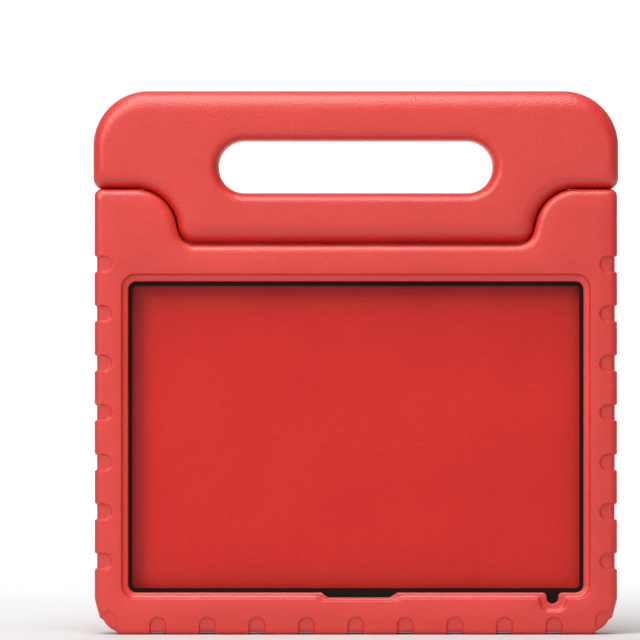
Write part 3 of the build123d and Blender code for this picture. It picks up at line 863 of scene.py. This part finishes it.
def moulded_plastic(name, colour, low, high, gloss=0.5):
    """Plastic or rubber with a fine texture, faint flow marks and roughness from low to high."""
    material, tree, shader, place = new_material(name)
    grain = node(tree, "ShaderNodeTexNoise", {"Vector": place, "Scale": 2100.0, "Detail": 4.0})
    flow = node(tree, "ShaderNodeTexNoise", {"Vector": place, "Scale": 40.0, "Detail": 2.0})
    paler = tuple(channel * 1.25 + 0.004 for channel in colour[:3]) + (1.0,)
    tree.links.new(blended(tree, flow.outputs["Fac"], colour, paler), shader.inputs["Base Color"])
    tree.links.new(ranged(tree, grain.outputs["Fac"], low, high), shader.inputs["Roughness"])
    shader.inputs["Specular IOR Level"].default_value = gloss
    bump = node(tree, "ShaderNodeBump", {"Height": grain.outputs["Fac"], "Strength": 0.2,
                                         "Distance": 0.0001})
    tree.links.new(bump.outputs["Normal"], shader.inputs["Normal"])
    return material


def turned_steel(name, colour):
    """Steel with turning marks round the hinge axis."""
    material, tree, shader, place = new_material(name)
    marks = node(tree, "ShaderNodeMapping", {"Vector": place, "Scale": (9000.0, 60.0, 60.0)})
    lines = node(tree, "ShaderNodeTexNoise", {"Vector": marks.outputs["Vector"], "Scale": 1.0,
                                              "Detail": 3.0})
    dull = tuple(channel * 0.8 for channel in colour[:3]) + (1.0,)
    tree.links.new(blended(tree, lines.outputs["Fac"], dull, colour), shader.inputs["Base Color"])
    shader.inputs["Metallic"].default_value = 1.0
    tree.links.new(ranged(tree, lines.outputs["Fac"], 0.22, 0.45), shader.inputs["Roughness"])
    bump = node(tree, "ShaderNodeBump", {"Height": lines.outputs["Fac"], "Strength": 0.15,
                                         "Distance": 0.00005})
    tree.links.new(bump.outputs["Normal"], shader.inputs["Normal"])
    return material


def dress(piece, material):
    """Give the piece one material."""
    piece.data.materials.clear()
    piece.data.materials.append(material)


# ---- Assembly

SHARP_ANGLE = radians(38)


def soft_piece(piece, body, replaced, material):
    """Finish a foam piece: smooth shading, its material, and what it rides on and stands for."""
    piece.data.shade_smooth()
    piece.data.set_sharp_from_angle(angle=SHARP_ANGLE)
    dress(piece, material)
    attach(piece, body)
    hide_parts(replaced)


def dress_hardware():
    """Give materials to the CAD nodes that stay."""
    black = moulded_plastic("ring_black", (0.004, 0.003, 0.003, 1.0), 0.5, 0.7, gloss=0.12)
    # Painted shade: the core, sockets, bushes, thrust washers and wave washers are made dark so
    # that the seam they show through looks shaded.
    core = moulded_plastic("core_plastic", (0.015, 0.015, 0.016, 1.0), 0.5, 0.65, gloss=0.3)
    bush_painted_shade = moulded_plastic("bush_plastic", (0.05, 0.05, 0.05, 1.0), 0.4, 0.55)
    rubber = moulded_plastic("disc_rubber", (0.02, 0.02, 0.02, 1.0), 0.6, 0.8)
    plug = moulded_plastic("plug_plastic", (0.5, 0.012, 0.010, 1.0), 0.32, 0.45)
    spring_painted_shade = turned_steel("spring_steel", (0.12, 0.12, 0.125, 1.0))
    steel = turned_steel("pin_steel", (0.6, 0.6, 0.61, 1.0))
    finishes = {
        "bezel_ring": black,
        "handle_core": core,
        "hinge_socket": core,
        "hinge_bush": bush_painted_shade,
        "thrust_washer": bush_painted_shade,
        "friction_disc": rubber,
        "wave_washer": spring_painted_shade,
        "hinge_pin": steel,
        "pin_nut": steel,
        "hinge_plug": plug,
    }
    for name, made in frame["nodes"].items():
        for start, material in finishes.items():
            if name.startswith(start):
                dress(made, material)


def build_foam():
    """Build the five foam pieces."""
    light = (0.70, 0.026, 0.015, 1.0)
    dark = (0.62, 0.018, 0.010, 1.0)
    pad_light = (0.64, 0.018, 0.011, 1.0)
    pad_dark = (0.57, 0.012, 0.008, 1.0)
    case_foam = foam("case_foam", light, dark, grain=0.8)
    handle_foam = foam("handle_foam", light, dark)
    pad_foam = foam("pad_foam", pad_light, pad_dark, grain=0.7, gloss=0.35)
    soft_piece(case_front(), "case", "front_frame", case_foam)
    soft_piece(case_tray(), "case", "rear_shell", case_foam)
    soft_piece(pad_panel(), "case", "inner_pad", pad_foam)
    soft_piece(handle_front(), "handle", "handle_front_shell", handle_foam)
    soft_piece(handle_rear(), "handle", "handle_rear_shell", handle_foam)


# ---- Stage

def floor():
    """A pale floor that curves up into a backdrop far behind the object."""
    half_width, height = 6.0, 6.0
    front, back = -4.0, 6.0
    bend = 2.0
    profile = [(front, 0.0)]
    profile += [(back - bend + y, bend + z) for y, z in arc_points((0.0, 0.0), bend, -90, 90, 24)]
    profile.append((back, height))
    points = [(x, y, z) for x in (-half_width, half_width) for y, z in profile]
    count = len(profile)
    faces = [(k, k + 1, count + k + 1, count + k) for k in range(count - 1)]
    mesh = bpy.data.meshes.new("floor")
    mesh.from_pydata(points, [], faces)
    mesh.shade_smooth()
    made = bpy.data.objects.new("floor", mesh)
    bpy.context.scene.collection.objects.link(made)
    material, tree, shader, place = new_material("floor_paint")
    speckle = node(tree, "ShaderNodeTexNoise", {"Vector": place, "Scale": 30.0, "Detail": 2.0})
    tree.links.new(ranged(tree, speckle.outputs["Fac"], 0.75, 0.85), shader.inputs["Roughness"])
    shader.inputs["Base Color"].default_value = (0.66, 0.66, 0.66, 1.0)
    shader.inputs["Specular IOR Level"].default_value = 0.2
    dress(made, material)


def area_light(name, place, target, size, power):
    """A square soft light that faces a point."""
    data = bpy.data.lights.new(name, "AREA")
    data.shape = "SQUARE"
    data.size = size
    data.energy = power
    made = bpy.data.objects.new(name, data)
    made.location = place
    made.rotation_euler = (Vector(target) - Vector(place)).to_track_quat("-Z", "Y").to_euler()
    bpy.context.scene.collection.objects.link(made)


def lights():
    """Soft light from overhead and the left, weak fill from the front, pale surroundings."""
    world = bpy.data.worlds.new("studio")
    world.use_nodes = True
    tree = world.node_tree
    facing = node(tree, "ShaderNodeTexCoord").outputs["Generated"]
    height = node(tree, "ShaderNodeSeparateXYZ", {"Vector": facing}).outputs["Z"]
    share = node(tree, "ShaderNodeMapRange", {"Value": height, "From Min": -0.3}).outputs["Result"]
    tree.links.new(ranged(tree, share, 0.08, 0.45), tree.nodes["Background"].inputs["Strength"])
    tree.nodes["Background"].inputs["Color"].default_value = (1.0, 1.0, 1.0, 1.0)
    bpy.context.scene.world = world
    middle = (0.0, 0.0, 0.14)
    area_light("overhead", (-0.2, -0.5, 1.6), middle, 1.0, 19.0)
    area_light("key", (-1.2, -1.4, 1.2), middle, 0.8, 19.0)
    area_light("front_fill", (0.2, -2.5, 0.9), middle, 1.8, 6.0)
    area_light("backdrop", (0.0, 1.5, 3.0), (0.0, 6.0, 0.5), 2.0, 270.0)


def camera():
    """A long lens, level, square to the object's front."""
    data = bpy.data.cameras.new("camera")
    distance = 3.0
    view_width = 0.3242      # at the object's front
    view_x, view_z = -0.0182, 0.1595
    data.sensor_width = 36.0
    data.lens = data.sensor_width * (distance + FRONT_Y * MM) / view_width
    made = bpy.data.objects.new("camera", data)
    made.location = (view_x, -distance, view_z)
    made.rotation_euler = (pi / 2, 0.0, 0.0)
    bpy.context.scene.collection.objects.link(made)
    bpy.context.scene.camera = made
    bpy.context.scene.view_settings.view_transform = "Standard"


camera()
lights()
floor()
build_foam()
dress_hardware()
